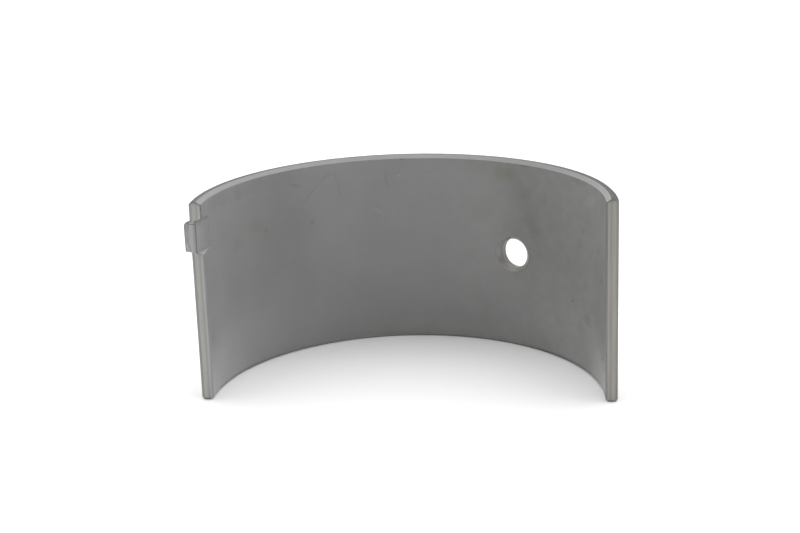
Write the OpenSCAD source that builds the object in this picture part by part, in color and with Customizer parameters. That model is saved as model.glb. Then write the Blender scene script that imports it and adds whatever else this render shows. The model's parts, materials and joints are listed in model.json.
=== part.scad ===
// Half of a plain engine bearing: one steel-backed strip bent to a half circle, with a pressed
// locating tang, an oil hole, chamfered ends and eased joint edges.
// The origin is on the bearing axis at mid length. +Z runs along the axis to the end that has the
// tang, +Y points at the crown, and the two joint faces lie in the plane y = 0, the tang's at -X.

/* [Shell] */
// Diameter of the housing that the back of the shell seats in
housing_d = 85; // [60:0.5:120]
// Thickness of the wall, backing and lining together
wall = 2.5; // [2:0.1:4]
// Length of the shell along the bearing axis
shell_len = 42; // [28:0.5:70]

/* [Ends] */
// Radial width of the inner chamfer at the upper end
upper_chamfer_w = 0.95; // [0.3:0.05:1.2]
// Axial depth of the inner chamfer at the upper end
upper_chamfer_h = 0.65; // [0.2:0.05:1.2]
// Width of the inner chamfer at the lower end, cut at 45 degrees
lower_chamfer = 0.55; // [0.2:0.05:1.2]
// Width of the outer chamfer at both ends, cut at 45 degrees
back_chamfer = 0.5; // [0.2:0.05:0.7]

/* [Joint faces] */
// Width of the chamfer on the outer edge of each joint face
joint_back_chamfer = 0.45; // [0.2:0.05:0.8]
// Width of the chamfer on the inner edge of each joint face
joint_bore_chamfer = 0.4; // [0.2:0.05:0.8]
// Depth of the bore relief at the joint faces
relief_depth = 0.03; // [0.02:0.01:0.1]
// Length of the bore relief along the arc, from each joint face
relief_len = 8; // [6:0.5:12]

/* [Locating tang] */
// Width of the tang along the bearing axis
tang_w = 6.25; // [4:0.25:9]
// Height of the tang above the back of the shell
tang_h = 1.3; // [0.7:0.05:2]
// Distance from the upper end of the shell to the tang
tang_inset = 4.15; // [2:0.05:8]
// Distance from the joint face to where the tang's slope runs out in the back
tang_len = 5.5; // [4:0.25:9]
// Width of joint face that carries on over the root of the tang
tang_land = 0.25; // [0.05:0.05:0.5]
// Set-back of the sheared end from the joint face, at the tip of the tang
tang_setback = 0.45; // [0.2:0.05:0.8]
// Radius of the sheared end across the width of the tang
tang_shear_r = 30; // [20:1:60]
// Height of the crown of the sheared end above the middle of the tang
tang_shear_rise = 0.25; // [0:0.25:2]
// Radius of the tang's upper outer edge
tang_upper_r = 0.9; // [0.1:0.05:1]
// Radius of the tang's lower outer edge
tang_lower_r = 0.15; // [0.1:0.05:0.6]

/* [Tang recess] */
// Depth of the punched recess below the bore, at the joint face
recess_depth = 1.4; // [0.8:0.05:1.6]
// Distance from the joint face to where the recess floor runs out in the bore
recess_len = 4.6; // [3:0.2:7]
// Margin of the recess floor past each side of the tang
recess_margin = 0.22; // [0.1:0.02:0.8]
// Shift of the recess from the middle of the tang, toward the upper end
recess_shift = 0.05; // [0:0.05:0.4]
// Widening of the recess from floor to mouth, at each side
recess_draft = 0.5; // [0.1:0.05:0.8]

/* [Oil hole] */
// Diameter of the oil hole
oil_hole_d = 6.5; // [3:0.1:12]
// Width of the oil hole's countersink in the bore
oil_countersink = 0.75; // [0.1:0.05:0.9]
// Width of the oil hole's chamfer at the back
oil_back_chamfer = 0.25; // [0.1:0.05:0.8]
// Angle of the oil hole from the crown, away from the tang
oil_hole_angle = 31; // [0:0.25:55]

/* [Hidden] */
// Facets of a full turn
$fn = 180;
// Length by which a cut or a joined piece runs past the surface it starts from
over = 1;

half_turn = 180;
// Share of the wall that the root of the tang reaches into, clear of the bore
root_share = 1 / 3;
outer_r = housing_d / 2;
bore_r = outer_r - wall;
half_len = shell_len / 2;

// The relief is a circle a little wider than the bore, shifted away from the crown so that the two
// cross at relief_len from the joint face.
relief_angle = relief_len / bore_r * half_turn / PI;
relief_shift = (pow(bore_r + relief_depth, 2) - pow(bore_r, 2)) / (2 * bore_r * sin(relief_angle));
relief_r = norm([bore_r + relief_depth, relief_shift]);

// The tang's tip, the point where its slope meets the back, and the slope between them, with X
// taken outward from the bearing axis.
tang_top = half_len - tang_inset;
tang_bottom = tang_top - tang_w;
tang_tip_x = outer_r + tang_h;
tang_run_out_x = sqrt(pow(outer_r, 2) - pow(tang_len, 2));
tang_slope = atan2(tang_tip_x - tang_run_out_x, tang_len - tang_setback);
tang_slope_len = norm([tang_tip_x - tang_run_out_x, tang_len - tang_setback]);
tang_root = tang_h + wall * root_share;
// Lean of the sheared end, from the edge of the land to the tip
shear_lean = atan2(tang_setback, tang_h - tang_land);

// Recess: floor level at the joint face, the point where the floor meets the bore, the slope between
// them, and the floor's middle
recess_floor_x = bore_r + recess_depth;
recess_run_out_x = sqrt(pow(bore_r, 2) - pow(recess_len, 2));
recess_slope = atan2(recess_floor_x - recess_run_out_x, recess_len);
recess_slope_len = norm([recess_floor_x - recess_run_out_x, recess_len]);
recess_mid_z = (tang_top + tang_bottom) / 2 + recess_shift;

oil_hole_r = oil_hole_d / 2;

// Half a turn of the wall's section
module bent_strip() {
    rotate_extrude(angle = half_turn)
        polygon([
            [bore_r, -half_len + lower_chamfer],
            [bore_r + lower_chamfer, -half_len],
            [outer_r - back_chamfer, -half_len],
            [outer_r, -half_len + back_chamfer],
            [outer_r, half_len - back_chamfer],
            [outer_r - back_chamfer, half_len],
            [bore_r + upper_chamfer_w, half_len],
            [bore_r, half_len - upper_chamfer_h]
        ]);
}

// Cuts that ease the two edges of the joint face at +X
module joint_edge_cuts() {
    linear_extrude(shell_len + 2 * over, center = true) {
        polygon([
            [outer_r - joint_back_chamfer - over, -over],
            [outer_r + over, -over],
            [outer_r + over, joint_back_chamfer + over]
        ]);
        polygon([
            [bore_r + joint_bore_chamfer + over, -over],
            [bore_r - over, -over],
            [bore_r - over, joint_bore_chamfer + over]
        ]);
    }
}

// Eccentric bore that leaves the lining a touch thinner beside the joint faces
module bore_relief() {
    translate([0, -relief_shift, 0])
        cylinder(r = relief_r, h = shell_len + 2 * over, center = true);
}

// Section of the tang, with its outer edges rounded: X = 0 is its outer face
module tang_section() {
    difference() {
        translate([-tang_root, tang_bottom])
            square([tang_root, tang_w]);
        translate([-tang_upper_r, tang_top - tang_upper_r])
            corner_waste(tang_upper_r);
        translate([-tang_lower_r, tang_bottom + tang_lower_r])
            mirror([0, 1])
                corner_waste(tang_lower_r);
    }
}

// What a rounded corner takes off a square one
module corner_waste(corner_r) {
    difference() {
        square(corner_r + over);
        circle(corner_r);
    }
}

// Pressed tang, sloping into the back, with its end sheared off behind the joint face
module tang() {
    intersection() {
        translate([tang_tip_x, tang_setback, 0])
            rotate([0, 0, tang_slope])
                translate([0, tang_slope_len, 0])
                    rotate([90, 0, 0])
                        linear_extrude(tang_slope_len + tang_setback + over)
                            tang_section();
        translate([outer_r + tang_land, 0, tang_top - tang_w / 2 + tang_shear_rise])
            rotate([0, 0, shear_lean])
                translate([0, tang_shear_r, 0])
                    rotate([0, 90, 0])
                        cylinder(r = tang_shear_r, h = 2 * (wall + tang_h + over), center = true);
        translate([bore_r, 0, tang_bottom - over])
            cube([wall + tang_h + over, tang_len + over, tang_w + 2 * over]);
    }
}

// Punched recess behind the tang: a sloping floor between drafted sides
module tang_recess() {
    floor_half_w = tang_w / 2 + recess_margin;
    cut_h = recess_depth + over;
    cut_half_w = floor_half_w + cut_h * recess_draft / recess_depth;
    translate([recess_floor_x, 0, recess_mid_z])
        rotate([0, 0, recess_slope])
            translate([0, recess_slope_len + over, 0])
                rotate([90, 0, 0])
                    linear_extrude(recess_slope_len + 2 * over)
                        polygon([
                            [0, -floor_half_w],
                            [0, floor_half_w],
                            [-cut_h, cut_half_w],
                            [-cut_h, -cut_half_w]
                        ]);
}

// Radial oil hole, countersunk in the bore and eased at the back
module oil_hole() {
    rotate([-90, 0, -oil_hole_angle])
        rotate_extrude()
            polygon([
                [0, bore_r - over],
                [oil_hole_r + oil_countersink + over, bore_r - over],
                [oil_hole_r, bore_r + oil_countersink],
                [oil_hole_r, outer_r - oil_back_chamfer],
                [oil_hole_r + oil_back_chamfer + over, outer_r + over],
                [0, outer_r + over]
            ]);
}

module bearing_shell() {
    color("gray")
        difference() {
            union() {
                difference() {
                    bent_strip();
                    joint_edge_cuts();
                    mirror([1, 0, 0])
                        joint_edge_cuts();
                    bore_relief();
                }
                mirror([1, 0, 0])
                    tang();
            }
            mirror([1, 0, 0])
                tang_recess();
            oil_hole();
        }
}

bearing_shell();
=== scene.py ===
"""Dresses the bearing shell: a fine mesh with eased edges, its metal finishes, light and camera."""
import json
import math
from collections import namedtuple

import bmesh
import bpy
from mathutils import Matrix, Vector, noise


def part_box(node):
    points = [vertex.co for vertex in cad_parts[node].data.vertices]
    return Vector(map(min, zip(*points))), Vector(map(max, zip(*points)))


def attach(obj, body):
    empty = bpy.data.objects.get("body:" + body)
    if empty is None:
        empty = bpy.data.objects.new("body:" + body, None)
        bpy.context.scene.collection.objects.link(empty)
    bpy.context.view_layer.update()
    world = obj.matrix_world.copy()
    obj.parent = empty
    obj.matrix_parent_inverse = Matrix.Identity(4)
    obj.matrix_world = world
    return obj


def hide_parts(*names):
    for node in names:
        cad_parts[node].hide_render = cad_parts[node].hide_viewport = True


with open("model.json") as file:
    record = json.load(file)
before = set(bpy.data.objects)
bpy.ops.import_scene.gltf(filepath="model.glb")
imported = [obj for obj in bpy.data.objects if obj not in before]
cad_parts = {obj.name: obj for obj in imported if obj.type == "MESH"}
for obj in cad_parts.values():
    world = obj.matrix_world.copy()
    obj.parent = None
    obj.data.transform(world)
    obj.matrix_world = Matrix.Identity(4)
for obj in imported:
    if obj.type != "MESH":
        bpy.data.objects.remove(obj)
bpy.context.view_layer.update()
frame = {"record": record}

# Sizes taken from the frame, in metres
MM = 0.001
MOUNTS = {mount["name"]: mount for mount in frame["record"]["mounts"]}
LOW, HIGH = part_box("bearing_shell")
BORE_R = MOUNTS["journal_seat"]["dims"]["r_mm"] * MM
BACK_R = MOUNTS["housing_seat"]["pos_m"][1]
HALF_LEN = HIGH.z
TANG_TIP = -LOW.x
OIL_R = MOUNTS["oil_hole"]["dims"]["r_mm"] * MM
OIL_AXIS = Vector(MOUNTS["oil_hole"]["axis"])
OIL_ANGLE = math.atan2(OIL_AXIS.x, OIL_AXIS.y)

# Edges of the shell, as in the solid
UPPER_CHAMFER_W = 0.95 * MM
UPPER_CHAMFER_H = 0.65 * MM
LOWER_CHAMFER = 0.55 * MM
BACK_CHAMFER = 0.5 * MM
JOINT_BACK_CHAMFER = 0.45 * MM
JOINT_BORE_CHAMFER = 0.4 * MM
OIL_COUNTERSINK = 0.75 * MM
OIL_BACK_CHAMFER = 0.25 * MM
RELIEF_DEPTH = 0.03 * MM
RELIEF_ANGLE = 8 * MM / BORE_R

# Locating tang and the recess behind it, as in the solid
TANG_TOP = HALF_LEN - 4.15 * MM
TANG_BOTTOM = TANG_TOP - 6.25 * MM
TANG_MID = (TANG_TOP + TANG_BOTTOM) / 2
TANG_LEN = 5.5 * MM
TANG_LAND = 0.25 * MM
TANG_SETBACK = 0.45 * MM
TANG_SHEAR_R = 30 * MM
TANG_CROWN = TANG_MID + 0.25 * MM
TANG_UPPER_R = 0.9 * MM
TANG_END_X = math.sqrt(BACK_R ** 2 - TANG_LEN ** 2)
RECESS_DEPTH = 1.4 * MM
RECESS_LEN = 4.6 * MM
RECESS_HALF_W = 3.345 * MM
RECESS_DRAFT = 0.5 * MM
RECESS_MID = TANG_MID + 0.05 * MM
RECESS_FLOOR_X = BORE_R + RECESS_DEPTH
RECESS_END_X = math.sqrt(BORE_R ** 2 - RECESS_LEN ** 2)
RECESS_SLOPE = math.atan2(RECESS_FLOOR_X - RECESS_END_X, RECESS_LEN)

# Grid of the mesh: columns run round the shell from the tang's joint face, rows up, layers across the wall
TANG_COLUMNS = 7
PLAIN_COLUMNS = 132
COLUMNS = TANG_COLUMNS + PLAIN_COLUMNS + 1
LAYERS = 9
CHAMFER_LAYERS = 4
ROW_STEP = 0.8 * MM
TANG_ROW_STEP = 0.35 * MM
TANG_CORNER_DEGREES = (18, 36, 54, 72)
END_ROW_INSET = 1.3 * MM
LAST_COLUMN_Y = 0.8 * MM
LEAST_GAP = 0.12 * MM
OIL_WINDOW = 6 * MM
OIL_RINGS = 5
OIL_RIM_PASSES = 4

# Fine shape that the solid leaves out: eased edges, worn feet and the torn end of the tang
EASE = 0.05 * MM
EASE_ANGLE = math.radians(12)
EASE_SEGMENTS = 2
ROUND_PROFILE = 0.5
FOOT_WEAR = 0.25 * MM
TEAR_DEPTH = 0.06 * MM
TEAR_GRAIN = 0.7 * MM

Row = namedtuple("Row", "z_bore z_back r_bore r_back in_recess on_tang end")


def mix(a, b, t):
    return a + (b - a) * t


def spaced(first, last, step):
    """Evenly spaced values from first to last, about step apart, both ends included."""
    count = max(1, round((last - first) / step))
    return [mix(first, last, n / count) for n in range(count + 1)]


def plain_row(z):
    return Row(z, z, BORE_R, BACK_R, False, False, False)


def tang_heights():
    """Heights of the rows across the tang, closer together on its rounded upper corner."""
    corner = TANG_TOP - TANG_UPPER_R
    rises = [TANG_UPPER_R * math.sin(math.radians(degrees)) for degrees in TANG_CORNER_DEGREES]
    return spaced(TANG_BOTTOM, corner, TANG_ROW_STEP) + [corner + rise for rise in rises]


def shell_rows():
    """Rows from the lower end to the upper end, each with its heights on the bore and on the back."""
    mouth_half = RECESS_HALF_W + RECESS_DRAFT
    low_floor, high_floor = RECESS_MID - RECESS_HALF_W, RECESS_MID + RECESS_HALF_W
    low_mouth, high_mouth = RECESS_MID - mouth_half, RECESS_MID + mouth_half
    rows = [
        Row(-HALF_LEN, -HALF_LEN, BORE_R + LOWER_CHAMFER, BACK_R - BACK_CHAMFER, False, False, True),
        Row(-HALF_LEN + LOWER_CHAMFER, -HALF_LEN + BACK_CHAMFER, BORE_R, BACK_R, False, False, False),
    ]
    rows += [plain_row(z) for z in spaced(-HALF_LEN + END_ROW_INSET, low_mouth - ROW_STEP, ROW_STEP)]
    rows.append(Row(low_mouth, TANG_BOTTOM - ROW_STEP / 2, BORE_R, BACK_R, False, False, False))
    rows.append(Row(low_floor, TANG_BOTTOM - LEAST_GAP, BORE_R, BACK_R, True, False, False))
    heights = tang_heights()
    for z in heights:
        up = (z - heights[0]) / (heights[-1] - heights[0])
        z_bore = mix(low_floor + LEAST_GAP, high_floor - LEAST_GAP, up)
        rows.append(Row(z_bore, z, BORE_R, BACK_R, True, True, False))
    rows.append(Row(high_floor, TANG_TOP + LEAST_GAP, BORE_R, BACK_R, True, False, False))
    rows.append(Row(high_mouth, TANG_TOP + ROW_STEP / 2, BORE_R, BACK_R, False, False, False))
    rows += [plain_row(z) for z in spaced(high_mouth + ROW_STEP, HALF_LEN - END_ROW_INSET, ROW_STEP)]
    rows += [
        Row(HALF_LEN - UPPER_CHAMFER_H, HALF_LEN - BACK_CHAMFER, BORE_R, BACK_R, False, False, False),
        Row(HALF_LEN, HALF_LEN, BORE_R + UPPER_CHAMFER_W, BACK_R - BACK_CHAMFER, False, False, True),
    ]
    return rows


def column_angles(radius, tang_reach):
    """Angles of the columns from the crown: along the tang or its recess, then evenly to the far face."""
    reaches = [tang_reach * n / TANG_COLUMNS for n in range(TANG_COLUMNS + 1)]
    near = [math.asin(reach / radius) - math.pi / 2 for reach in reaches]
    last = math.pi / 2 - math.asin(LAST_COLUMN_Y / radius)
    far = [mix(near[-1], last, n / PLAIN_COLUMNS) for n in range(1, PLAIN_COLUMNS + 1)]
    return near + far + [math.pi / 2]


ROWS = shell_rows()
TOP_ROW = len(ROWS) - 1
RECESS_ROWS = [n for n in range(TOP_ROW) if ROWS[n].in_recess]
LOW_FLOOR, HIGH_FLOOR = RECESS_ROWS[0], RECESS_ROWS[-1]
LOW_MOUTH, HIGH_MOUTH = LOW_FLOOR - 1, HIGH_FLOOR + 1
BORE_ANGLES = column_angles(BORE_R, RECESS_LEN)
BACK_ANGLES = column_angles(BACK_R, TANG_LEN)


def around(radius, angle, z):
    return Vector((radius * math.sin(angle), radius * math.cos(angle), z))


def foot(index):
    """How far the joint faces' lower edges are worn back."""
    return FOOT_WEAR if index == 0 else 0.0


def relief(angle):
    """How much wider the bore is near a joint face."""
    start = math.pi / 2 - RELIEF_ANGLE
    return RELIEF_DEPTH * max(0.0, (abs(angle) - start) / RELIEF_ANGLE)


def recess_half_width(x, y):
    """Half the gap between the recess's drafted sides, x out from the axis and y from the joint face."""
    depth = (RECESS_FLOOR_X - x) * math.cos(RECESS_SLOPE) - y * math.sin(RECESS_SLOPE)
    return RECESS_HALF_W + RECESS_DRAFT * depth / RECESS_DEPTH


def mouth_half_width(column):
    """Half the width of the recess's mouth at a column. Past the recess its row draws away again."""
    if column >= TANG_COLUMNS:
        return RECESS_HALF_W + min(RECESS_DRAFT, LEAST_GAP * (1 + column - TANG_COLUMNS))
    y = max(JOINT_BORE_CHAMFER, RECESS_LEN * column / TANG_COLUMNS)
    x = math.sqrt(BORE_R ** 2 - y ** 2)
    return max(RECESS_HALF_W + LEAST_GAP, recess_half_width(x, y))


def bore_height(column, index):
    """Height of a row on the bore. The rows at the recess's mouth follow its drafted sides."""
    if index == LOW_MOUTH:
        return RECESS_MID - mouth_half_width(column)
    if index == HIGH_MOUTH:
        return RECESS_MID + mouth_half_width(column)
    return ROWS[index].z_bore


def bore_point(column, index):
    row = ROWS[index]
    z = bore_height(column, index)
    if row.in_recess and column < TANG_COLUMNS:
        along = column / TANG_COLUMNS
        return Vector((-mix(RECESS_FLOOR_X, RECESS_END_X, along), RECESS_LEN * along, z))
    angle = BORE_ANGLES[column]
    radius = row.r_bore + relief(angle)
    if column in (0, COLUMNS):
        y = max(foot(index), JOINT_BORE_CHAMFER - (row.r_bore - BORE_R))
        return Vector((math.copysign(math.sqrt(radius ** 2 - y ** 2), angle), y, z))
    return around(radius, angle, z)


def tang_tip(z):
    """How far the tang's outer face is from the axis plane at its end, with its upper corner rounded."""
    over = max(0.0, z - (TANG_TOP - TANG_UPPER_R))
    return TANG_TIP - (TANG_UPPER_R - math.sqrt(max(0.0, TANG_UPPER_R ** 2 - over ** 2)))


def tang_end(z):
    """Edge of the land on the joint face and set-back of the tip, both curved across the sheared end."""
    curve = (z - TANG_CROWN) ** 2 / (2 * TANG_SHEAR_R)
    lean = TANG_SETBACK / (TANG_TIP - BACK_R - TANG_LAND)
    return BACK_R + TANG_LAND - curve / lean, TANG_SETBACK + curve


def back_point(column, index):
    row = ROWS[index]
    angle = BACK_ANGLES[column]
    if row.on_tang and column < TANG_COLUMNS:
        setback = tang_end(row.z_back)[1]
        along = max(setback, TANG_LEN * column / TANG_COLUMNS)
        drop = (along - setback) / (TANG_LEN - setback)
        x = max(mix(tang_tip(row.z_back), TANG_END_X, drop), math.sqrt(BACK_R ** 2 - along ** 2))
        return Vector((-x, along, row.z_back))
    if column in (0, COLUMNS):
        y = max(foot(index), JOINT_BACK_CHAMFER - (BACK_R - row.r_back))
        return Vector((math.copysign(math.sqrt(row.r_back ** 2 - y ** 2), angle), y, row.z_back))
    return around(row.r_back, angle, row.z_back)


def end_radius(row, layer):
    return mix(row.r_bore, row.r_back, layer / LAYERS)


def torn(spot):
    """A point of the tang's sheared end, moved in or out by the tear but never past the joint face."""
    depth = TEAR_DEPTH * noise.noise(spot / TEAR_GRAIN)
    return Vector((spot.x, max(0.0, spot.y + depth), spot.z))


def flat_start(column, index):
    """Height of a row where the flat of a joint face begins, on or clear of the recess's sides."""
    if column == 0 and index in (LOW_MOUTH, HIGH_MOUTH):
        half = recess_half_width(BORE_R + JOINT_BORE_CHAMFER, 0.0)
    elif column == 0 and index in (LOW_FLOOR, HIGH_FLOOR):
        half = RECESS_HALF_W + LEAST_GAP / 2
    else:
        return ROWS[index].z_bore
    return RECESS_MID + math.copysign(half, ROWS[index].z_bore - RECESS_MID)


def joint_point(column, index, layer):
    """A point inside a joint face, on its flat or on the outer chamfer or the tang's sheared end."""
    row = ROWS[index]
    side = -1 if column == 0 else 1
    if row.end:
        return Vector((side * end_radius(row, layer), foot(index), row.z_bore))
    last = back_point(column, index)
    tang_here = row.on_tang and column == 0
    recess_here = row.in_recess and column == 0
    edge_layer = LAYERS - CHAMFER_LAYERS
    inner = RECESS_FLOOR_X + LEAST_GAP if recess_here else BORE_R + JOINT_BORE_CHAMFER
    outer = tang_end(row.z_back)[0] if tang_here else BACK_R - JOINT_BACK_CHAMFER
    x = mix(inner, outer, (min(layer, edge_layer) - 1) / (edge_layer - 1))
    z = mix(flat_start(column, index), last.z, (x - inner) / (abs(last.x) - inner))
    spot = Vector((side * x, 0.0, z))
    if layer > edge_layer:
        spot = spot.lerp(last, (layer - edge_layer) / CHAMFER_LAYERS)
        return torn(spot) if tang_here else spot
    return spot


def grid_point(column, index, layer):
    if layer == 0:
        return bore_point(column, index)
    if layer == LAYERS:
        return back_point(column, index)
    if column in (0, COLUMNS):
        return joint_point(column, index, layer)
    return around(end_radius(ROWS[index], layer), BORE_ANGLES[column], ROWS[index].z_bore)


# Finishes, in the order of the piece's material slots
LINING, RECESS, CHAMFER, END, JOINT, LAND, SHEARED, BACK, HOLE = range(9)


def bore_slot(column, index):
    if index in (0, TOP_ROW - 1):
        return CHAMFER
    if column < TANG_COLUMNS and LOW_MOUTH <= index < HIGH_MOUTH:
        return RECESS
    return LINING


def back_slot(column, index):
    return END if index in (0, TOP_ROW - 1) else BACK


def joint_slot(column, index, layer):
    if column == 0 and ROWS[index].on_tang and ROWS[index + 1].on_tang:
        return SHEARED if layer >= LAYERS - CHAMFER_LAYERS else LAND
    return JOINT


def oil_window():
    """Columns and rows of the grid that the oil hole's ring patch takes the place of."""
    columns = [n for n in range(COLUMNS) if abs(BORE_ANGLES[n] - OIL_ANGLE) * BORE_R < OIL_WINDOW]
    rows = [n for n in range(TOP_ROW) if abs(ROWS[n].z_bore) < OIL_WINDOW]
    return columns[0], columns[-1], rows[0], rows[-1]


def window_edge(left, right, low, high):
    """Grid places round the window, anticlockwise on a chart of columns and rows."""
    edge = [(c, low) for c in range(left, right)] + [(right, r) for r in range(low, high)]
    return edge + [(c, high) for c in range(right, left, -1)] + [(left, r) for r in range(high, low, -1)]


OIL_ACROSS = Vector((OIL_AXIS.y, -OIL_AXIS.x, 0.0))


def oil_point(depth, u, v):
    """A point at a depth along the oil hole's axis, u round the shell from it and v up."""
    return OIL_AXIS * depth + OIL_ACROSS * u + Vector((0.0, 0.0, v))


def oil_rim(turn, radius, outward):
    """Radius of the oil hole's rim where its cone meets the bore or the back."""
    start = OIL_R + (OIL_BACK_CHAMFER if outward else OIL_COUNTERSINK)
    rim = start
    for _ in range(OIL_RIM_PASSES):
        fall = radius - math.sqrt(radius ** 2 - (rim * math.cos(turn)) ** 2)
        rim = start + (-fall if outward else fall)
    return rim


class ShellBuilder:
    """Collects the vertices and faces of the shell."""

    def __init__(self):
        self.mesh = bmesh.new()
        self.at = {}

    def vertex(self, column, index, layer):
        place = (column, index, layer)
        if place not in self.at:
            self.at[place] = self.mesh.verts.new(grid_point(*place))
        return self.at[place]

    def face(self, corners, slot):
        face = self.mesh.faces.new(corners)
        face.material_index = slot

    def facet(self, places, slot):
        self.face([self.vertex(*place) for place in places], slot)

    def bore_and_back(self, window):
        left, right, low, high = window
        for c in range(COLUMNS):
            for r in range(TOP_ROW):
                if left <= c < right and low <= r < high:
                    continue
                for layer, pick_slot in ((0, bore_slot), (LAYERS, back_slot)):
                    square = [(c, r, layer), (c + 1, r, layer), (c + 1, r + 1, layer), (c, r + 1, layer)]
                    self.facet(square, pick_slot(c, r))

    def joint_faces(self):
        for c in (0, COLUMNS):
            for r in range(TOP_ROW):
                for n in range(LAYERS):
                    if (c, n) == (0, 0) and r in (LOW_MOUTH, HIGH_FLOOR):
                        continue
                    square = [(c, r, n), (c, r, n + 1), (c, r + 1, n + 1), (c, r + 1, n)]
                    self.facet(square, joint_slot(c, r, n))

    def recess_corners(self):
        """Where the recess opens in the joint face: the ends of its sides and the flat beside them."""
        for mouth, floor in ((LOW_MOUTH, LOW_FLOOR), (HIGH_MOUTH, HIGH_FLOOR)):
            chamfer_end, floor_corner = (0, mouth, 1), (0, floor, 0)
            self.facet([(0, mouth, 0), chamfer_end, floor_corner], RECESS)
            self.facet([chamfer_end, (0, floor, 1), floor_corner], JOINT)

    def end_faces(self):
        for r in (0, TOP_ROW):
            for c in range(COLUMNS):
                for n in range(LAYERS):
                    self.facet([(c, r, n), (c + 1, r, n), (c + 1, r, n + 1), (c, r, n + 1)], END)

    def ring(self, points):
        return [self.mesh.verts.new(point) for point in points]

    def band(self, first, second, slot):
        count = len(first)
        for n in range(count):
            after = (n + 1) % count
            self.face([first[n], first[after], second[after], second[n]], slot)

    def oil_mouth(self, edge, turns, radius, angles, layer, slot):
        """Rings from the window in the grid to the hole's rim, on the bore or on the back."""
        last = [self.vertex(c, r, layer) for c, r in edge]
        for n in range(1, OIL_RINGS + 1):
            points = []
            for (c, r), turn in zip(edge, turns):
                rim = oil_rim(turn, radius, outward=layer > 0)
                u = mix(radius * math.sin(angles[c] - OIL_ANGLE), rim * math.cos(turn), n / OIL_RINGS)
                v = mix(ROWS[r].z_bore, rim * math.sin(turn), n / OIL_RINGS)
                points.append(oil_point(math.sqrt(radius ** 2 - u ** 2), u, v))
            ring = self.ring(points)
            self.band(last, ring, slot)
            last = ring
        return last

    def oil_hole(self, window):
        edge = window_edge(*window)
        turns = [
            math.atan2(ROWS[r].z_bore, BORE_R * math.sin(BORE_ANGLES[c] - OIL_ANGLE)) for c, r in edge]
        rings = [self.oil_mouth(edge, turns, BORE_R, BORE_ANGLES, 0, LINING)]
        for depth in (BORE_R + OIL_COUNTERSINK, BACK_R - OIL_BACK_CHAMFER):
            rings.append(self.ring([
                oil_point(depth, OIL_R * math.cos(turn), OIL_R * math.sin(turn)) for turn in turns]))
        rings.append(self.oil_mouth(edge, turns, BACK_R, BACK_ANGLES, LAYERS, BACK))
        for first, second in zip(rings, rings[1:]):
            self.band(first, second, HOLE)

    def ease_edges(self):
        """Rounds each sharp edge a little, with nothing moved past the plane of the joint faces."""
        bmesh.ops.recalc_face_normals(self.mesh, faces=self.mesh.faces)
        sharp = [edge for edge in self.mesh.edges if edge.calc_face_angle(0.0) > EASE_ANGLE]
        bmesh.ops.bevel(
            self.mesh, geom=sharp, offset=EASE, offset_type="OFFSET", segments=EASE_SEGMENTS,
            profile=ROUND_PROFILE, affect="EDGES", clamp_overlap=True, material=-1, miter_outer="ARC")
        for vertex in self.mesh.verts:
            vertex.co.y = max(0.0, vertex.co.y)
        for face in self.mesh.faces:
            face.smooth = True

    def finished(self, name):
        data = bpy.data.meshes.new(name)
        self.mesh.to_mesh(data)
        self.mesh.free()
        piece = bpy.data.objects.new(name, data)
        bpy.context.scene.collection.objects.link(piece)
        return piece


def build_shell():
    builder = ShellBuilder()
    window = oil_window()
    builder.bore_and_back(window)
    builder.joint_faces()
    builder.recess_corners()
    builder.end_faces()
    builder.oil_hole(window)
    builder.ease_edges()
    piece = builder.finished("bearing_shell_fine")
    piece.modifiers.new("flat_faces", "WEIGHTED_NORMAL")
    return piece


def map_range(tree, value, source, target, smooth=False):
    """Value moved from one range on to another, and held at its ends."""
    node = tree.nodes.new("ShaderNodeMapRange")
    node.interpolation_type = "SMOOTHSTEP" if smooth else "LINEAR"
    tree.links.new(value, node.inputs["Value"])
    for name, number in zip(("From Min", "From Max", "To Min", "To Max"), (*source, *target)):
        node.inputs[name].default_value = number
    return node.outputs["Result"]


# Fall of blue in a warm grey, for a rise of red of 1
BLUE_LOSS = 1.5


def grey(level, warm=0.0):
    """A linear grey, a little warmer where warm is above zero."""
    return (level * (1 + warm), level, level * (1 - BLUE_LOSS * warm))


# Values that most of a noise lies between
GRAIN_LOW = 0.3
GRAIN_HIGH = 0.7

# Places of a Mix node's colours among its sockets
MIX_BASE = 6
MIX_TOP = 7
MIX_RESULT = 2


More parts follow.
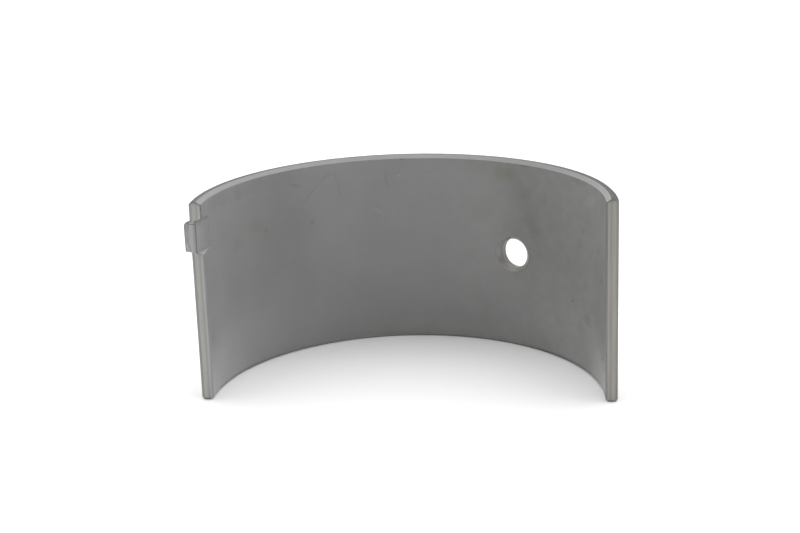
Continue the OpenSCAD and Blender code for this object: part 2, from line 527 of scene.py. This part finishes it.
class Finish:
    """A metal finish and the nodes that vary it."""

    def __init__(self, name, roughness, metallic=1.0, specular=0.5):
        self.material = bpy.data.materials.new(name)
        self.material.use_nodes = True
        self.tree = self.material.node_tree
        self.shader = self.tree.nodes["Principled BSDF"]
        self.shader.inputs["Metallic"].default_value = metallic
        self.shader.inputs["Roughness"].default_value = roughness
        self.shader.inputs["Specular IOR Level"].default_value = specular
        self.place = self.add("ShaderNodeTexCoord").outputs["Object"]
        split = self.add("ShaderNodeSeparateXYZ")
        self.link(self.place, split.inputs["Vector"])
        self.x, self.y, self.z = split.outputs

    def add(self, kind):
        return self.tree.nodes.new(kind)

    def link(self, source, target):
        self.tree.links.new(source, target)

    def feed(self, socket, value):
        """Sets a socket from another node's output or from a number."""
        if isinstance(value, (int, float)):
            socket.default_value = value
        else:
            self.link(value, socket)

    def maths(self, operation, first, second=0.0):
        node = self.add("ShaderNodeMath")
        node.operation = operation
        self.feed(node.inputs[0], first)
        self.feed(node.inputs[1], second)
        return node.outputs["Value"]

    def length(self, vector):
        node = self.add("ShaderNodeVectorMath")
        node.operation = "LENGTH"
        self.link(vector, node.inputs[0])
        return node.outputs["Value"]

    def flat_vector(self, x, y):
        node = self.add("ShaderNodeCombineXYZ")
        self.link(x, node.inputs["X"])
        self.link(y, node.inputs["Y"])
        return node.outputs["Vector"]

    def noise_node(self, size, stretch=(1.0, 1.0, 1.0), detail=3.0):
        """Noise with features about the given size, drawn out along the axes that stretch makes larger."""
        mapping = self.add("ShaderNodeMapping")
        mapping.inputs["Scale"].default_value = [1 / (size * part) for part in stretch]
        self.link(self.place, mapping.inputs["Vector"])
        texture = self.add("ShaderNodeTexNoise")
        texture.inputs["Scale"].default_value = 1.0
        texture.inputs["Detail"].default_value = detail
        self.link(mapping.outputs["Vector"], texture.inputs["Vector"])
        return texture

    def grain(self, size, **shape):
        return self.noise_node(size, **shape).outputs["Fac"]

    def span(self, value, low, high, to_low=0.0, to_high=1.0, smooth=False):
        return map_range(self.tree, value, (low, high), (to_low, to_high), smooth)

    def ramp(self, value, stops):
        """Colours along a value, from a list of places and colours."""
        node = self.add("ShaderNodeValToRGB")
        while len(node.color_ramp.elements) < len(stops):
            node.color_ramp.elements.new(0.5)
        for element, (place, colour) in zip(node.color_ramp.elements, stops):
            element.position = place
            element.color = (*colour, 1.0)
        self.link(value, node.inputs["Fac"])
        return node.outputs["Color"]

    def fade(self, value, low, high, first, last):
        """A grey that goes from first to last as a value goes from low to high."""
        return self.ramp(self.span(value, low, high), [(0.0, grey(first)), (1.0, grey(last))])

    def mottled(self, grain, dark, pale):
        """A grey that follows a grain."""
        return self.ramp(grain, [(GRAIN_LOW, grey(dark)), (GRAIN_HIGH, grey(pale))])

    def blend(self, kind, share, base, top):
        """Top laid over base by a share, as a plain mix or a multiply."""
        node = self.add("ShaderNodeMix")
        node.data_type = "RGBA"
        node.blend_type = kind
        self.feed(node.inputs[0], share)
        self.link(base, node.inputs[MIX_BASE])
        if isinstance(top, tuple):
            node.inputs[MIX_TOP].default_value = (*top, 1.0)
        else:
            self.link(top, node.inputs[MIX_TOP])
        return node.outputs[MIX_RESULT]

    def times(self, colour, factor, share=1.0):
        return self.blend("MULTIPLY", share, colour, factor)

    def sheet(self, waver, size):
        """Arc length and height on the bore, laid flat and made a little uneven."""
        arc = self.maths("MULTIPLY", self.maths("ARCTAN2", self.x, self.y), BORE_R)
        half = waver / 2
        flat = self.flat_vector(self.maths("SUBTRACT", arc, half), self.maths("SUBTRACT", self.z, half))
        shift = self.add("ShaderNodeVectorMath")
        shift.operation = "MULTIPLY_ADD"
        self.link(self.noise_node(size).outputs["Color"], shift.inputs[0])
        shift.inputs[1].default_value = (waver, waver, 0.0)
        self.link(flat, shift.inputs[2])
        return shift.outputs["Vector"]

    def turn(self):
        """Place round the shell, from 0 at the tang's joint face over the crown to 1 at the plain one."""
        return self.span(self.maths("ARCTAN2", self.x, self.y), -math.pi / 2, math.pi / 2)

    def radius(self):
        """Distance from the bearing axis."""
        return self.length(self.flat_vector(self.x, self.y))

    def patch(self, sheet, mark):
        """A mark's strength on the bore, full over its core and fading to 0 at its edge."""
        mapping = self.add("ShaderNodeMapping")
        mapping.vector_type = "TEXTURE"
        mapping.inputs["Location"].default_value = (math.radians(mark.angle) * BORE_R, mark.z * MM, 0.0)
        mapping.inputs["Rotation"].default_value = (0.0, 0.0, math.radians(mark.tilt))
        mapping.inputs["Scale"].default_value = (mark.half_w * MM, mark.half_h * MM, 1.0)
        self.link(sheet, mapping.inputs["Vector"])
        from_middle = self.length(mapping.outputs["Vector"])
        return self.span(from_middle, 1.0, mark.core, 0.0, mark.strength, smooth=True)

    def colour(self, source):
        self.link(source, self.shader.inputs["Base Color"])

    def roughness(self, source):
        self.link(source, self.shader.inputs["Roughness"])

    def bump(self, height, distance):
        node = self.add("ShaderNodeBump")
        node.inputs["Distance"].default_value = distance
        self.link(height, node.inputs["Height"])
        self.link(node.outputs["Normal"], self.shader.inputs["Normal"])


# Half the width of the strip in the middle over which a finish changes from one side or end of the shell to
# the other. No joint face, chamfer or end lies in it
MIDDLE = 1 * MM

# Lining: sizes of its grains, how far and how finely the marks waver, and the height of the painted contact
# shadow at the lower edge
CLOUD_SIZE = 9 * MM
MOTTLE_SIZE = 2.2 * MM
FINE_SIZE = 0.4 * MM
MARK_WAVER = 1.5 * MM
MARK_WAVER_SIZE = 3 * MM
CONTACT_SHADOW_HEIGHT = 0.5 * MM

# Stains, rubs and specks on the bore, and one pale patch of painted floor light at its lower end: angle
# from the crown and tilt in degrees, height and half sizes in millimetres, share of the mark that is its
# core, strength and tint
Mark = namedtuple("Mark", "angle z half_w half_h tilt core strength tint")
OLIVE = (0.72, 0.69, 0.52)
SMEAR = (0.70, 0.69, 0.62)
DARK = (0.62, 0.62, 0.60)
PALE = (1.35, 1.35, 1.30)
BROWN = (0.55, 0.48, 0.38)
STAINS_AND_PAINTED_LIGHT = [
    Mark(28.6, 17.9, 5.0, 2.6, 0, 0.1, 0.44, OLIVE),
    Mark(35.5, 12.6, 3.6, 6.0, 20, 0.1, 0.22, SMEAR),
    Mark(39.3, 7.0, 3.0, 5.0, 25, 0.1, 0.38, SMEAR),
    Mark(46, 11.0, 10.0, 9.0, 0, 0.0, 0.05, OLIVE),
    Mark(36, 20.2, 1.6, 0.8, 0, 0.1, 0.40, DARK),
    Mark(57.6, 19.0, 0.35, 0.35, 0, 0.3, 0.90, PALE),
    Mark(67.5, 16.4, 2.6, 1.8, 0, 0.1, 0.40, PALE),
    Mark(71, 17.6, 2.2, 1.6, 0, 0.1, 0.25, PALE),
    Mark(63.2, 9.7, 1.9, 1.4, 20, 0.2, 0.34, DARK),
    Mark(61, 6.0, 1.3, 2.4, 0, 0.2, 0.20, DARK),
    Mark(75.1, 7.8, 1.2, 1.1, 0, 0.2, 0.34, DARK),
    Mark(78.9, 2.2, 2.1, 1.6, 0, 0.2, 0.30, DARK),
    Mark(66.4, -9.1, 2.5, 1.9, 0, 0.3, 0.36, DARK),
    Mark(61.5, -11.8, 2.4, 1.9, 0, 0.2, 0.20, DARK),
    Mark(75.7, -12.3, 1.8, 1.3, 0, 0.2, 0.26, DARK),
    Mark(57, -6.8, 0.45, 0.4, 0, 0.3, 0.90, BROWN),
    Mark(-57, 10.0, 3.4, 2.6, 0, 0.1, 0.24, OLIVE),
    Mark(-53, 8.3, 0.8, 0.7, 0, 0.2, 0.30, BROWN),
    Mark(-66, 7.4, 3.0, 2.4, 0, 0.1, 0.18, DARK),
    Mark(-64, 18.2, 1.3, 2.4, 0, 0.1, 0.24, DARK),
    Mark(-86, -8.8, 2.2, 3.4, 0, 0.1, 0.20, DARK),
    Mark(-41, 16.9, 2.4, 0.5, -20, 0.1, 0.42, DARK),
    Mark(-35.5, 7.9, 0.7, 1.0, -20, 0.2, 0.36, DARK),
    Mark(-36, 14.0, 4.2, 0.5, 45, 0.1, 0.24, DARK),
    Mark(-30, 17.6, 2.6, 0.5, 25, 0.1, 0.24, DARK),
    Mark(-26, 15.4, 0.4, 4.6, 14, 0.1, 0.24, DARK),
    Mark(-10.2, 15.5, 0.35, 3.8, 12, 0.1, 0.26, DARK),
    Mark(-13.5, 9.0, 2.4, 0.4, -35, 0.1, 0.25, PALE),
    Mark(-6.4, 16.5, 0.4, 0.4, 0, 0.3, 0.60, PALE),
    Mark(-8, 16.5, 21.0, 0.25, 0, 0.6, 0.10, PALE),
    Mark(-5, 20.2, 0.9, 0.4, 0, 0.3, 0.55, DARK),
    Mark(-62, 18.6, 19.0, 2.0, 0, 0.7, 0.07, DARK),
    Mark(-76, 18.7, 7.0, 3.2, 0, 0.2, 0.17, DARK),
    Mark(20, 19.9, 11.5, 2.7, 0, 0.2, 0.20, DARK),
    Mark(20, 9.5, 4.5, 4.0, 0, 0.1, 0.16, DARK),
    Mark(61, 20.0, 4.5, 1.6, 0, 0.2, 0.32, DARK),
    Mark(82, 17.5, 4.0, 5.0, 0, 0.1, 0.18, DARK),
    Mark(65, -17.0, 9.0, 8.0, 0, 0.1, 0.40, DARK),
    # Pale patch along the lower end round the crown: painted light bounced up from the floor.
    Mark(2, -20.8, 36.0, 6.5, 0, 0.2, 0.27, PALE),
]


def lining_finish():
    """Soft matt lining: lighter toward the lower end as painted light from the floor, uneven round the
    shell, mottled toward the plain joint face, with a painted contact shadow at its lower edge near the
    joint faces, marks of handling and a pale patch of painted floor light at its lower end.
    """
    finish = Finish("lining", roughness=0.27, metallic=0.06)
    colour = finish.mottled(finish.grain(CLOUD_SIZE, detail=1.0), 0.268, 0.284)
    # Lighter toward the lower end: painted light, standing in for light bounced up from the floor.
    heights = finish.ramp(finish.span(finish.z, -HALF_LEN, HALF_LEN), [
        (0.0, grey(1.2)), (0.12, grey(1.12)), (0.3, grey(1.05)), (0.6, grey(1.0)), (1.0, grey(0.98))])
    colour = finish.times(colour, heights)
    mottle = finish.ramp(finish.grain(MOTTLE_SIZE, detail=4.0), [
        (0.35, (0.985, 0.98, 0.95)), (0.65, grey(1.05))])
    turn = finish.turn()
    colour = finish.times(colour, mottle, share=finish.span(turn, 0.5, 0.7, 0.2, 1.0))
    uneven = finish.ramp(turn, [
        (0.08, grey(1.04)), (0.16, grey(0.995)), (0.36, grey(0.955)), (0.5, grey(0.995)),
        (0.75, grey(1.045)), (0.89, grey(1.045)), (0.945, grey(0.955))])
    colour = finish.times(colour, uneven)
    colour = finish.times(colour, finish.mottled(finish.grain(FINE_SIZE, detail=2.0), 0.975, 1.025))
    lower_edge = -HALF_LEN + LOWER_CHAMFER
    # Dark line at the lower edge, strongest near the joint faces: painted contact shadow where the lining
    # meets the floor.
    painted_contact_shadow = finish.ramp(finish.span(finish.z, lower_edge, lower_edge + CONTACT_SHADOW_HEIGHT), [
        (0.0, grey(0.62)), (0.6, grey(0.68)), (1.0, grey(1.0))])
    contact_shadow_share = finish.ramp(turn, [
        (0.06, grey(0.6)), (0.2, grey(0.3)), (0.35, grey(0.0)),
        (0.68, grey(0.0)), (0.78, grey(0.7)), (0.9, grey(1.0))])
    colour = finish.times(colour, painted_contact_shadow, share=contact_shadow_share)
    sheet = finish.sheet(MARK_WAVER, MARK_WAVER_SIZE)
    for mark in STAINS_AND_PAINTED_LIGHT:
        colour = finish.times(colour, mark.tint, share=finish.patch(sheet, mark))
    finish.colour(colour)
    return finish


# Recess: size of its grain, the edge of the painted light on its lower side, and where the painted shade
# below its upper side is
PRESSED_SIZE = 1.5 * MM
LIT_LOWER_SIDE_EDGE = 0.1 * MM
SHADE_START = 0.8 * MM
SHADE_FULL = 0.2 * MM


def recess_finish():
    """Pressed lining, dark at the joint face, with painted shade below its upper side and painted light on
    its lower side, which faces up.
    """
    finish = Finish("pressed_lining", roughness=0.35, metallic=0.1)
    colour = finish.ramp(finish.span(finish.y, 0.0, RECESS_LEN), [
        (0.0, grey(0.17)), (0.04, grey(0.17)), (0.09, grey(0.34)), (0.5, grey(0.31)),
        (0.9, grey(0.28)), (1.0, grey(0.25))])
    colour = finish.times(colour, finish.mottled(finish.grain(PRESSED_SIZE, detail=1.0), 0.96, 1.0))
    low_z, high_z = RECESS_MID - RECESS_HALF_W, RECESS_MID + RECESS_HALF_W
    # Paler lower side: painted light on the side of the recess that faces up.
    colour = finish.times(colour, finish.fade(finish.z, low_z - LIT_LOWER_SIDE_EDGE, low_z, 1.22, 1.0))
    # Darker below the upper side: painted shade under the side that faces down.
    shade = finish.fade(finish.z, high_z - SHADE_START, high_z - SHADE_FULL, 1.0, 0.84)
    finish.colour(finish.times(colour, shade))
    return finish


CHAMFER_STREAK_SIZE = 2.5 * MM


def chamfer_finish():
    """Turned chamfers: pale round the upper end, and round the lower end a painted contact shadow, darkest
    toward the joint faces.
    """
    finish = Finish("turned_chamfer", roughness=0.5, metallic=0.5)
    upper = [
        (0.0, grey(0.33)), (0.17, grey(0.34)), (0.39, grey(0.325)), (0.5, grey(0.345, 0.01)),
        (0.61, grey(0.325, 0.01)), (0.72, grey(0.30, 0.01)), (0.83, grey(0.33, 0.01)),
        (1.0, grey(0.34, 0.01))]
    # Lower chamfer: painted contact shadow where the shell meets the floor, darkest toward the joint faces.
    lower = [
        (0.0, grey(0.11)), (0.22, grey(0.28)), (0.36, grey(0.4)), (0.5, grey(0.42)), (0.64, grey(0.34)),
        (0.78, grey(0.15)), (1.0, grey(0.06))]
    turn = finish.turn()
    ends = finish.span(finish.z, -MIDDLE, MIDDLE)
    colour = finish.blend("MIX", ends, finish.ramp(turn, lower), finish.ramp(turn, upper))
    streaks = finish.grain(CHAMFER_STREAK_SIZE, stretch=(1.0, 1.0, 0.1))
    finish.colour(finish.times(colour, finish.mottled(streaks, 0.95, 1.05)))
    return finish


# Ends: size of their grain, and where the painted shade along the outer rim starts and is at its full,
# measured in from the back
END_GRAIN_SIZE = 1.5 * MM
SHADED_RIM_START = 0.8 * MM
SHADED_RIM_FULL = 0.4 * MM


def end_finish():
    """Turned ends, with painted shade toward the joint faces and along the outer edge."""
    finish = Finish("turned_end", roughness=0.6, metallic=0.1, specular=0.2)
    # Darker toward the joint faces than at the crown: painted shade.
    colour = finish.ramp(finish.turn(), [
        (0.0, grey(0.145)), (0.17, grey(0.14)), (0.28, grey(0.185)), (0.39, grey(0.21)),
        (0.5, grey(0.216)), (0.61, grey(0.188)), (0.72, grey(0.169)), (0.83, grey(0.118)),
        (1.0, grey(0.115))])
    # Darker along the outer edge: painted shade.
    rim = finish.fade(finish.radius(), BACK_R - SHADED_RIM_START, BACK_R - SHADED_RIM_FULL, 1.0, 0.7)
    colour = finish.times(colour, rim)
    finish.colour(finish.times(colour, finish.mottled(finish.grain(END_GRAIN_SIZE), 0.93, 1.07)))
    return finish


# Joint faces: shift of their bands to +X, the lower edge of the painted burr shadow, and the size and depth
# of the streaks
BAND_SHIFT = 0.07 * MM
BURR_EDGE = 0.1 * MM
STREAK_SIZE = 0.2 * MM
STREAK_DEPTH = 0.01 * MM


def joint_finish():
    """Broached joint faces: warm steel, the thin line of lining, painted shade on their chamfers, painted
    light on the face on the tang's side, the painted shadow of a burr above the recess, streaks.
    """
    finish = Finish("broached_joint", roughness=0.5)
    outward = finish.maths("ABSOLUTE", finish.maths("SUBTRACT", finish.x, BAND_SHIFT))
    across = finish.span(outward, BORE_R, BACK_R)
    # First and last stops: painted shade on the inner and outer chamfers.
    colour = finish.ramp(across, [
        (0.0, grey(0.25)), (0.12, grey(0.28)), (0.16, grey(0.33, 0.006)), (0.25, grey(0.325, 0.006)),
        (0.29, grey(0.27, 0.02)), (0.44, grey(0.27, 0.03)), (0.52, grey(0.31, 0.03)),
        (0.73, grey(0.32, 0.025)), (0.80, grey(0.235, 0.015)), (0.88, grey(0.22, 0.01)),
        (1.0, grey(0.2, 0.01))])
    # Face on the tang's side lighter than the other one: painted light.
    sides = finish.ramp(finish.span(finish.x, -MIDDLE, MIDDLE), [
        (0.0, (1.19, 1.22, 1.22)), (1.0, (1.05, 1.045, 0.99))])
    colour = finish.times(colour, sides)
    # Dark line at the bore edge above the recess on the tang's side: painted shadow of a burr that the mesh
    # leaves out.
    burr_z = RECESS_MID + RECESS_HALF_W + RECESS_DRAFT
    burr_shadow_reach = finish.ramp(finish.span(finish.z, burr_z - BURR_EDGE, HALF_LEN), [
        (0.0, grey(0.0)), (0.03, grey(1.0)), (0.18, grey(1.0)), (0.3, grey(0.5)), (0.45, grey(0.5)),
        (0.6, grey(0.85)), (1.0, grey(0.85))])
    tang_side = finish.span(finish.x, MIDDLE, -MIDDLE)
    burr_shadow = finish.ramp(across, [(0.06, grey(0.3)), (0.11, grey(1.0))])
    colour = finish.times(colour, burr_shadow, share=finish.maths("MULTIPLY", tang_side, burr_shadow_reach))
    streaks = finish.grain(STREAK_SIZE, stretch=(1.0, 1.0, 40.0))
    finish.colour(finish.times(colour, finish.mottled(streaks, 0.9, 1.05)))
    finish.bump(streaks, STREAK_DEPTH)
    return finish


# Shear line in the land, painted as the shade of its groove, measured down from the top of the tang
SHEAR_LINE_LOW = 0.65 * MM
SHEAR_LINE_HIGH = 0.15 * MM


def land_finish():
    """Strip of joint face over the tang's root, bright beside the sheared end, with a shear line near its
    top painted as the shade of its groove.
    """
    finish = Finish("tang_land", roughness=0.5)
    across = finish.span(finish.maths("ABSOLUTE", finish.x), RECESS_FLOOR_X, BACK_R + TANG_LAND)
    colour = finish.ramp(across, [
        (0.0, grey(0.22)), (0.12, (0.295, 0.30, 0.29)), (0.6, (0.387, 0.393, 0.377)),
        (1.0, (0.37, 0.375, 0.36))])
    # Dark line across the land: painted shade of the shear line's groove, which the mesh leaves out.
    shear_line_shade = finish.ramp(finish.span(finish.z, TANG_TOP - SHEAR_LINE_LOW, TANG_TOP - SHEAR_LINE_HIGH), [
        (0.3, grey(1.0)), (0.44, grey(0.4)), (0.56, grey(0.4)), (0.7, grey(1.0))])
    colour = finish.times(colour, shear_line_shade)
    streaks = finish.grain(STREAK_SIZE, stretch=(1.0, 1.0, 15.0))
    finish.colour(finish.times(colour, finish.mottled(streaks, 0.92, 1.05)))
    return finish


FLECK_SIZE = 0.5 * MM
FLECK_DEPTH = 0.04 * MM


def sheared_finish():
    """Torn end of the tang, flecked."""
    finish = Finish("sheared_end", roughness=0.6)
    flecks = finish.grain(FLECK_SIZE, stretch=(0.7, 1.0, 1.6), detail=4.0)
    finish.colour(finish.mottled(flecks, 0.27, 0.41))
    finish.bump(flecks, FLECK_DEPTH)
    return finish


GRINDING_SIZE = 0.5 * MM


def back_finish():
    """Ground steel back, lined round the shell."""
    finish = Finish("steel_back", roughness=0.42)
    lines = finish.grain(GRINDING_SIZE, stretch=(12.0, 12.0, 0.5))
    clouds = finish.ramp(finish.grain(CLOUD_SIZE), [(0.35, grey(0.92)), (0.65, grey(1.0))])
    finish.colour(finish.times(finish.mottled(lines, 0.29, 0.33), clouds))
    finish.roughness(finish.span(lines, GRAIN_LOW, GRAIN_HIGH, 0.38, 0.46))
    return finish


HOLE_GRAIN_SIZE = 0.7 * MM


def hole_finish():
    """Countersinks of the oil hole and its drilled wall, darker with painted shade inside the hole, lighter
    low down with painted light where the wall faces up.
    """
    finish = Finish("drilled_hole", roughness=0.4, metallic=0.3)
    # Drilled wall darker deeper in: painted shade inside the hole.
    colour = finish.ramp(finish.span(finish.radius(), BORE_R, BACK_R), [
        (0.26, grey(0.32, 0.03)), (0.32, grey(0.2, 0.02)), (0.5, grey(0.145, 0.02)),
        (1.0, grey(0.14, 0.02))])
    # Lighter low down, where the wall faces up: painted light.
    heights = finish.ramp(finish.span(finish.z, -OIL_R, OIL_R), [(0.0, grey(1.3)), (0.7, grey(1.0))])
    colour = finish.times(colour, heights)
    finish.colour(finish.times(colour, finish.mottled(finish.grain(HOLE_GRAIN_SIZE), 0.92, 1.08)))
    return finish


# Camera as the photograph was taken: focal length on a 36 mm wide sensor, place and angles
LENS_MM = 71.44
SENSOR_MM = 36.0
CAMERA_NEAR = 10 * MM
CAMERA_PLACE = Vector((32.35, -299.75, 98.14)) * MM
CAMERA_TURN = math.radians(6.258)
CAMERA_PITCH = math.radians(16.717)
CAMERA_ROLL = math.radians(-1.945)


def make_camera():
    data = bpy.data.cameras.new("camera")
    data.lens = LENS_MM
    data.sensor_width = SENSOR_MM
    data.clip_start = CAMERA_NEAR
    camera = bpy.data.objects.new("camera", data)
    turn = Matrix.Rotation(CAMERA_TURN, 4, "Z")
    tilt = Matrix.Rotation(math.pi / 2 - CAMERA_PITCH, 4, "X")
    roll = Matrix.Rotation(CAMERA_ROLL, 4, "Z")
    camera.matrix_world = Matrix.Translation(CAMERA_PLACE) @ turn @ tilt @ roll
    bpy.context.scene.collection.objects.link(camera)
    bpy.context.scene.camera = camera


# Plain pale floor, and soft light from all round but the camera's side, which is dim
FLOOR_HALF = 2.0
FLOOR_WHITE = 0.95
FLOOR_ROUGHNESS = 0.9
FLOOR_LIFT = 0.125
WORLD_LEVEL = 1.75
DIM_LEVEL = 0.05
DIM_SIDE = Vector((-0.105, -0.994, 0.0))
DIM_FULL = 0.82
DIM_NONE = -0.25
TOP_PLACE = Vector((0.0, 0.05, 0.6))
TOP_SIZE = 0.6
TOP_POWER = 0.55


def seen_directly(tree):
    """1 for rays from the camera, a mirror or glass, and 0 for rays that carry light to a matt surface."""
    path = tree.nodes.new("ShaderNodeLightPath")
    total = path.outputs["Is Camera Ray"]
    for name in ("Is Glossy Ray", "Is Transmission Ray"):
        largest = tree.nodes.new("ShaderNodeMath")
        largest.operation = "MAXIMUM"
        tree.links.new(total, largest.inputs[0])
        tree.links.new(path.outputs[name], largest.inputs[1])
        total = largest.outputs["Value"]
    return total


def make_world():
    world = bpy.data.worlds.new("studio")
    world.use_nodes = True
    bpy.context.scene.world = world
    tree = world.node_tree
    toward = tree.nodes.new("ShaderNodeVectorMath")
    toward.operation = "DOT_PRODUCT"
    tree.links.new(tree.nodes.new("ShaderNodeTexCoord").outputs["Generated"], toward.inputs[0])
    toward.inputs[1].default_value = DIM_SIDE
    strength = tree.nodes.new("ShaderNodeMath")
    strength.operation = "MULTIPLY"
    dimmed = map_range(tree, toward.outputs["Value"], (DIM_FULL, DIM_NONE), (DIM_LEVEL, 1.0), smooth=True)
    tree.links.new(dimmed, strength.inputs[0])
    level = map_range(tree, seen_directly(tree), (0.0, 1.0), (WORLD_LEVEL, 1.0), smooth=True)
    tree.links.new(level, strength.inputs[1])
    shown = tree.nodes.new("ShaderNodeMath")
    shown.operation = "MAXIMUM"
    tree.links.new(strength.outputs["Value"], shown.inputs[0])
    tree.links.new(tree.nodes.new("ShaderNodeLightPath").outputs["Is Camera Ray"], shown.inputs[1])
    sky = tree.nodes["Background"]
    sky.inputs["Color"].default_value = (1.0, 1.0, 1.0, 1.0)
    tree.links.new(shown.outputs["Value"], sky.inputs["Strength"])


def make_floor():
    data = bpy.data.meshes.new("floor")
    level = -HALF_LEN
    corners = [(-1, -1), (1, -1), (1, 1), (-1, 1)]
    data.from_pydata([(x * FLOOR_HALF, y * FLOOR_HALF, level) for x, y in corners], [], [(0, 1, 2, 3)])
    floor = bpy.data.objects.new("floor", data)
    bpy.context.scene.collection.objects.link(floor)
    material = bpy.data.materials.new("white_floor")
    material.use_nodes = True
    tree = material.node_tree
    shader = tree.nodes["Principled BSDF"]
    shader.inputs["Base Color"].default_value = (FLOOR_WHITE, FLOOR_WHITE, FLOOR_WHITE, 1.0)
    shader.inputs["Roughness"].default_value = FLOOR_ROUGHNESS
    shader.inputs["Specular IOR Level"].default_value = 0.0
    shader.inputs["Emission Color"].default_value = (1.0, 1.0, 1.0, 1.0)
    lift = tree.nodes.new("ShaderNodeMath")
    lift.operation = "MULTIPLY"
    lift.inputs[1].default_value = FLOOR_LIFT
    tree.links.new(seen_directly(tree), lift.inputs[0])
    tree.links.new(lift.outputs["Value"], shader.inputs["Emission Strength"])
    data.materials.append(material)


def make_lamp(name, place, size, power):
    data = bpy.data.lights.new(name, "AREA")
    data.shape = "SQUARE"
    data.size = size
    data.energy = power
    lamp = bpy.data.objects.new(name, data)
    lamp.location = place
    lamp.rotation_euler = (-place).to_track_quat("-Z", "Y").to_euler()
    bpy.context.scene.collection.objects.link(lamp)


shell = build_shell()
for make_finish in (
        lining_finish, recess_finish, chamfer_finish, end_finish,
        joint_finish, land_finish, sheared_finish, back_finish, hole_finish):
    shell.data.materials.append(make_finish().material)
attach(shell, "root")
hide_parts("bearing_shell")

make_camera()
make_floor()
make_world()
make_lamp("top_light", TOP_PLACE, TOP_SIZE, TOP_POWER)
bpy.context.scene.view_settings.view_transform = "Standard"
